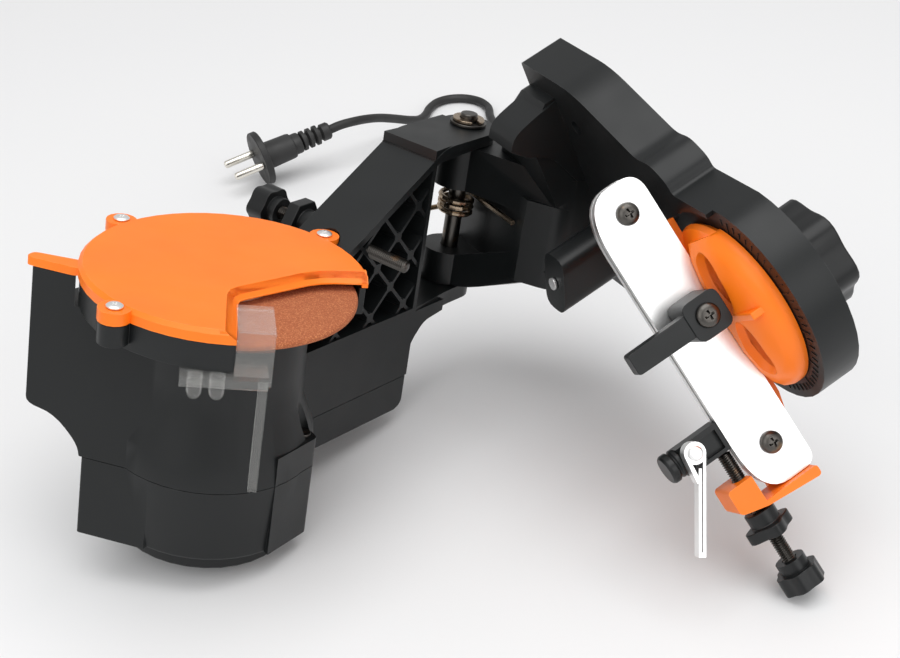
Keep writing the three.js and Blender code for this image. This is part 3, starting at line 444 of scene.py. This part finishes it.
def cross_recess(size, depth, place):
    """Phillips recess, its mouth at local Z 0."""
    w, h = size * 0.24, size
    arms = [(-h, -w), (-w, -w), (-w, -h), (w, -h), (w, -w), (h, -w),
            (h, w), (w, w), (w, h), (-w, h), (-w, w), (-h, w)]
    return prism(arms, -depth, 0.3, place, 0.45)


# ---- mains lead --------------------------------------------------------------------------------
CORD_R = 2.8
ON_TABLE = CORD_R + 0.1
LEAD = [[-118, 77, 24.5], [-133, 89, 17.5], [-147, 104, 8.4], [-154, 123, 3.3], [-147, 143, ON_TABLE],
        [-125, 155, ON_TABLE], [-85, 159, ON_TABLE], [-42, 169, ON_TABLE], [-3, 190, ON_TABLE],
        [28, 222, ON_TABLE], [46, 256, ON_TABLE], [52.5, 296, ON_TABLE]]
TAIL = [[52, 314, 6.5], [48.5, 330, 3.6], [43.5, 349, ON_TABLE], [38, 366, ON_TABLE], [33.5, 388, ON_TABLE],
        [32.8, 402, ON_TABLE], [28, 413, ON_TABLE], [18.5, 419.6, ON_TABLE], [7.5, 419.8, ON_TABLE],
        [-1.5, 414, ON_TABLE], [-6.5, 404, 3], [-9, 393, 3.4], [-13, 382, 5], [-19.5, 371, 9.5],
        [-28.4, 360, 15.5], [-36.9, 349.7, 20.8], [-44.6, 339.2, 25], [-52.6, 330.4, 27.4],
        [-60.7, 325, 27.6]]
COIL_AT = Vector((98.3, 303, 0))
COIL_TURNS = 5.85
COIL_FROM = 150                          # degrees round the coil where the lead comes in
COIL_STEPS = 20                          # points for each turn
CORD_LENGTH = 1.8
PLUG_END = Vector((-67.8, 321.7, 26))
PLUG_AIM = Vector((-40.8, -19.1, -9)).normalized()
GLAND = HEAD @ Vector((72, -76.3, -84)) / MM


def coil_points(outer):
    """Two layers of turns side by side, wound inward below and outward above."""
    points = []
    pitch, climb = 2 * CORD_R + 0.05, 0.25
    layer = (COIL_TURNS - climb) / 2
    steps = int(COIL_TURNS * COIL_STEPS)
    for i in range(steps + 1):
        n = COIL_TURNS * i / steps
        inward = min(n, layer)
        outward = max(0.0, n - layer - climb)
        rise = min(1.0, max(0.0, (n - layer) / climb))
        r = outer - pitch * inward + pitch * outward
        a = math.radians(COIL_FROM) - 2 * math.pi * n
        z = ON_TABLE + (2 * CORD_R + 0.05) * (3 * rise**2 - 2 * rise**3)
        points.append(COIL_AT + Vector((r * math.cos(a), r * math.sin(a), z)))
    return points


def smooth_line(points, each):
    """Catmull-Rom line through the points."""
    points = [2 * points[0] - points[1], *points, 2 * points[-1] - points[-2]]
    line = []
    for a, b, c, d in zip(points, points[1:], points[2:], points[3:]):
        for k in range(each):
            t = k / each
            line.append(0.5 * (2 * b + (c - a) * t + (2 * a - 5 * b + 4 * c - d) * t**2
                               + (3 * b - a - 3 * c + d) * t**3))
    return line + [points[-2]]


def route(outer):
    entry = PLUG_END - PLUG_AIM * 0.2
    points = [GLAND, *map(Vector, LEAD), *coil_points(outer), *map(Vector, TAIL), entry]
    return smooth_line(points, 4)


def length_of(line):
    return sum((b - a).length for a, b in zip(line, line[1:]))


def add_cord():
    """Round lead along the route, the coil's radius worked out from the lead's length."""
    outer = 38.5
    for _ in range(3):
        outer += (CORD_LENGTH / MM - length_of(route(outer))) / (2 * math.pi * COIL_TURNS)
    line = route(outer)
    curve = bpy.data.curves.new("mains_lead", "CURVE")
    curve.dimensions = "3D"
    curve.bevel_depth = CORD_R * MM
    curve.bevel_resolution = 4
    curve.use_fill_caps = True
    spline = curve.splines.new("POLY")
    spline.points.add(len(line) - 1)
    for point, at in zip(spline.points, line):
        point.co = (*(at * MM), 1)
    spline.use_smooth = True
    cord = bpy.data.objects.new("mains_lead", curve)
    bpy.context.collection.objects.link(cord)
    curve.materials.append(MATERIALS["cord_rubber"])
    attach(cord, "motor_head")
    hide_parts("cord_lead", "cord_coil", "cord_tail")
    return cord


PLUG = frame_at(PLUG_END * MM, Vector((0, 0, 1)).cross(PLUG_AIM), PLUG_AIM)


def add_plug():
    """Ribbed strain relief, grip body with a round flange, and two pins."""
    ribs = [(0, 0.0), (4.6, 0.2), (5.4, 1.2), (5.4, 5.4), (4.6, 6.0)]
    for k in range(3):
        z = 6.8 + 4.4 * k
        ribs += [(3.9, z), (3.9, z + 0.9), (6.2, z + 1.3), (6.2, z + 3.3)]
    ribs += [(4.2, 19.9), (0, 19.9)]
    relief = new_piece("plug_relief_ribs", lathe(ribs, PLUG, 40), "motor_head", "cord_rubber",
                       "plug_strain_relief")
    body = [(0, 20.4), (7.0, 20.4), (7.4, 21.4), (7.4, 25.0), (8.6, 25.6), (9.0, 27), (9.5, 43.6),
            (10.2, 44.1), (16.2, 44.2), (16.75, 44.7), (16.75, 48.0), (16.3, 48.4), (0, 48.4)]
    flat = lathe(body, PLUG, 64, lambda a, r: 1 - 0.16 * math.sin(a) ** 2 if r < 10 else 1.0)
    grip = new_piece("plug_grip", flat, "motor_head", "cord_rubber", "plug_body")
    pins = []
    for i, x in enumerate((-9.5, 9.5)):
        shape = [(0, 48.85), (2.36, 48.85), (2.36, 66.0), (2.0, 67.0), (1.2, 67.4), (0, 67.5)]
        pins.append(new_piece(f"plug_pin_{i + 1}_round", lathe(shape, PLUG @ moved(x, 0, 0), 32),
                              "motor_head", "plug_metal", f"plug_pin_{i + 1}"))
    return [relief, grip, *pins]


cord = add_cord()
plug_pieces = add_plug()


# ---- head --------------------------------------------------------------------------------------
for node, width in (("head_housing", 0.45), ("lower_cover", 0.5), ("motor_end_cap", 0.5),
                    ("power_switch_rocker", 0.3), ("guard_back", 0.3), ("spark_shield", 0.25),
                    ("shield_peg_1", 0.2),
                    ("shield_peg_2", 0.2), ("cord_strain_relief", 0.3), ("depth_lock_nut", 0.5)):
    refined(node, width)


# Outline of the guard's cut-out, open towards the wheel's edge.
OPENING = [(15.2, 21.0), (47, 50), (60, 90), (-70, 90), (-46, 42.5), (-31.5, 30.8), (-26.6, 27.9),
           (-21, 25.8), (9.5, 19.7), (12.6, 19.6)]
WHEEL_R, WHEEL_HALF, WHEEL_BORE_R = 54, 1.6, 11.4
GUARD_R, CUTTER_TOP = 57.8, 12
GUARD_SCREW_AT = 60.5


def add_guard_cover():
    """Cover whose wall slopes down to the wheel all round the cut-out."""
    lip, top = 4.7, 8.7
    slope = loft(grown(OPENING, 0.4), lip + 0.5, grown(OPENING, 5.2), top + 0.5, WHEEL)
    cover = subtract(refined("guard_cover", 0.2), [slope])
    skirt = new_piece("guard_skirt", prism(grown(OPENING, 6.4), lip, top, WHEEL), "motor_head",
                      "orange_plastic")
    disc = [(0, 0), (GUARD_R, 0), (GUARD_R, CUTTER_TOP), (0, CUTTER_TOP)]
    subtract(skirt, [lathe(disc, WHEEL, 96)], "INTERSECT")
    subtract(skirt, [prism(OPENING, 0, CUTTER_TOP, WHEEL), slope])
    bevelled(cover, 0.5, 3)
    bevelled(skirt, 0.4, 2)


add_guard_cover()


def add_wheel():
    """Thin disc with a rounded rim."""
    half, r = WHEEL_HALF, WHEEL_R
    profile = [(WHEEL_BORE_R, -half), (r - 1.6, -half), (r - 0.5, -half + 0.35), (r, -half + 1.1),
               (r, half - 1.1), (r - 0.5, half - 0.35), (r - 1.6, half), (WHEEL_BORE_R, half)]
    new_piece("wheel_disc", lathe(profile, WHEEL, 160), "wheel_rotor", "abrasive", "grinding_wheel")


add_wheel()
for node in ("inner_wheel_flange", "outer_wheel_flange", "wheel_nut", "rotor_shaft"):
    refined(node, 0.25)


def add_guard_screws():
    """Three domed screws round the guard, each with a Phillips recess in its top."""
    top = 9.9
    dome = [(0, -3.4), (1.95, -3.4), (1.95, 8.7), (3.35, 8.75), (3.35, 9.2), (2.9, 9.6), (1.8, 9.85),
            (0, top)]
    for k, turn in enumerate((-90, 180, 0)):
        at = WHEEL @ Matrix.Rotation(math.radians(turn), 4, "Z") @ moved(GUARD_SCREW_AT, 0, 0)
        screw = new_piece(f"guard_screw_{k + 1}_head", lathe(dome, at, 32), "motor_head", "bright_steel",
                          f"guard_screw_{k + 1}")
        subtract(screw, [cross_recess(1.7, 0.9, at @ moved(0, 0, top))])
        smooth(screw.data, 35)


add_guard_screws()

DEPTH_SCREW = HEAD @ moved(80, -50, 1) @ ALONG_Y
DEPTH_SCREW_LENGTH = 83
new_piece("depth_screw_thread", thread(DEPTH_SCREW_LENGTH, DEPTH_SCREW), "depth_stop", "dark_steel",
          "depth_screw")
refined("depth_screw_knob", 0.5)
refined("housing_screw", 0.2)

# ---- hinge and base ----------------------------------------------------------------------------
for node, width in (("base_casting", 0.5), ("hinge_pin", 0.6), ("hinge_washer", 0.3), ("hinge_clip", 0.2),
                    ("vise_lock_knob", 1.2)):
    refined(node, width)
smooth(frame["nodes"]["torsion_spring"].data, 60)


# ---- vise --------------------------------------------------------------------------------------
RAIL_SCREWS_AT = (-56.5, 52.5)
LEVER_SCREW_AT = -8
SCREW_Z = 24
ADJUSTER = VISE @ moved(45.6, 0, 42.6) @ ALONG_X
ADJUSTER_LENGTH = 62.4
SCALE_R, SCALE_MARKS, SCALE_STEP = 43.6, 37, 5
SCALE_MIDDLE = 57                        # degrees from the vise's own X to the scale's middle


def screw_head(name, node, body, place, r, base, top, shank):
    """Pan head with a Phillips recess on a plain shank, along local Z."""
    rise = top - base
    shape = [(0, shank), (2.1, shank), (2.1, base), (r, base), (r, base + 0.3 * rise),
             (0.86 * r, base + 0.72 * rise), (0.55 * r, base + 0.94 * rise), (0, top)]
    head = new_piece(name, lathe(shape, place, 40), body, slot_of[node], node)
    subtract(head, [cross_recess(2.6, 1.3, place @ moved(0, 0, top))])
    smooth(head.data, 38)


vise_skin = refined("vise_body", 0.5)
for node, width in (("front_rail", 0.25), ("rear_rail", 0.25), ("clamp_lever", 0.8),
                    ("clamp_lever_nut", 0.3), ("chain_stop", 0.4), ("stop_knob", 0.3), ("pawl_pin", 0.25),
                    ("chain_pawl", 0.2), ("adjusting_knob", 0.5), ("adjusting_lock_nut", 0.6),
                    ("swivel_bolt", 0.3), ("rail_nut_1", 0.3), ("rail_nut_2", 0.3)):
    refined(node, width)
for k, x in enumerate(RAIL_SCREWS_AT):
    screw_head(f"rail_screw_{k + 1}_pan", f"rail_screw_{k + 1}", "vise",
               VISE @ moved(x, 0, SCREW_Z) @ ALONG_Y, r=4.7, base=3.8, top=6.6, shank=-7)
screw_head("lever_screw_pan", "clamp_lever_screw", "clamp",
           VISE @ moved(LEVER_SCREW_AT, 0, SCREW_Z) @ ALONG_Y, r=5, base=21.3, top=23.5, shank=-9)


def ellipsoids(centre, radii, turn):
    """Mirror pair of closed ellipsoids in the vise frame, each turned about its own Z."""
    x, y, z = centre
    bm = bmesh.new()
    for side in (-1, 1):
        tilt = Matrix.Rotation(math.radians(-side * turn), 4, "Z")
        place = VISE @ moved(side * x, y, z) @ tilt @ Matrix.Diagonal((*radii, 1))
        bmesh.ops.create_uvsphere(bm, u_segments=48, v_segments=24, radius=1, matrix=place)
    mesh = bpy.data.meshes.new("hollows")
    bm.to_mesh(mesh)
    bm.free()
    return mesh


def add_dome(vise_skin):
    """Swivel dome: a half crown with a square end, a dished hollow each side of the pointer rib."""
    crown = [(0, 0.5), (38.3, 0.5), (38.4, 3.4), (37.0, 6.6), (33.5, 9.6), (27, 12.2), (17, 13.8),
             (0, 14.2)]
    dome = new_piece("swivel_dome", lathe(crown, VISE, 96), "vise", "orange_plastic")
    behind = prism([(-60, -60), (60, -60), (60, 4.2), (-60, 4.2)], -5, 40, VISE)
    end = prism([(-60, 0), (-33, 0), (-33, 60), (-60, 60)], -5, 40, VISE)
    hollows = ellipsoids((16.3, 14.2, 15.5), (15.0, 7.2, 9.6), 10)
    subtract(dome, [behind, end, hollows])
    bevelled(dome, 0.9, 3, 40)
    subtract(vise_skin, [hollows])
    smooth(vise_skin.data, 40)
    pointer = prism([(-1.9, 4.5), (1.9, 4.5), (1.6, 34.6), (-1.6, 34.6)], 3, 13.9, VISE)
    bevelled(new_piece("swivel_pointer", pointer, "vise", "orange_plastic"), 0.7, 3)


add_dome(vise_skin)


def add_scale():
    """Fine raised marks round the protractor, longer at every fifth."""
    bm = bmesh.new()
    middle = Matrix.Rotation(math.radians(SCALE_MIDDLE), 4, "Z")
    for k in range(SCALE_MARKS):
        long = 5.0 if k % 5 == 0 else 3.2
        turn = Matrix.Rotation(math.radians(-90 + SCALE_STEP * k), 4, "Z")
        place = VISE @ middle @ turn @ moved(SCALE_R - long / 2, 0, 0.1)
        bmesh.ops.create_cube(bm, size=1, matrix=place @ Matrix.Diagonal((long, 0.45, 0.5, 1)))
    mesh = bpy.data.meshes.new("scale")
    bm.to_mesh(mesh)
    bm.free()
    new_piece("protractor_scale", mesh, "base", "black_plastic")


add_scale()
new_piece("adjusting_thread", thread(ADJUSTER_LENGTH, ADJUSTER), "adjuster", "dark_steel",
          "adjusting_screw")
refined("post_screw", 0.2)

for node, thing in frame["nodes"].items():
    thing.data.materials.clear()
    thing.data.materials.append(MATERIALS[slot_of[node]])


# ---- floor and light ---------------------------------------------------------------------------
def add_floor():
    """Pale matt table top."""
    bm = bmesh.new()
    bmesh.ops.create_grid(bm, x_segments=1, y_segments=1, size=6)
    mesh = bpy.data.meshes.new("floor")
    bm.to_mesh(mesh)
    bm.free()
    s = Shader("floor", (0.80, 0.80, 0.80), 0.8)
    s.color(s.blend(s.noise(3, 2), (0.79, 0.79, 0.80), (0.81, 0.81, 0.81)))
    s.bump(s.noise(420, 2), 0.15, 0.0002)
    mesh.materials.append(s.material)
    floor = bpy.data.objects.new("floor", mesh)
    bpy.context.collection.objects.link(floor)


def add_light(name, at, size, power):
    """White square lamp aimed at the middle of the machine."""
    data = bpy.data.lights.new(name, "AREA")
    data.size = size
    data.energy = power
    light = bpy.data.objects.new(name, data)
    light.location = at
    light.rotation_euler = (Vector((0, 0, 0.08)) - Vector(at)).to_track_quat("-Z", "Y").to_euler()
    bpy.context.collection.objects.link(light)


add_floor()
add_light("key", (0.15, -0.15, 1.9), 1.7, 22)
add_light("fill", (0.97, -1.19, 0.82), 1.0, 5)
add_light("front", (-0.95, -1.25, 1.1), 1.4, 8)
world = bpy.data.worlds.new("studio")
world.use_nodes = True
world.node_tree.nodes["Background"].inputs["Color"].default_value = (1, 1, 1, 1)
world.node_tree.nodes["Background"].inputs["Strength"].default_value = 0.58
bpy.context.scene.world = world
bpy.context.scene.view_settings.view_transform = "Standard"
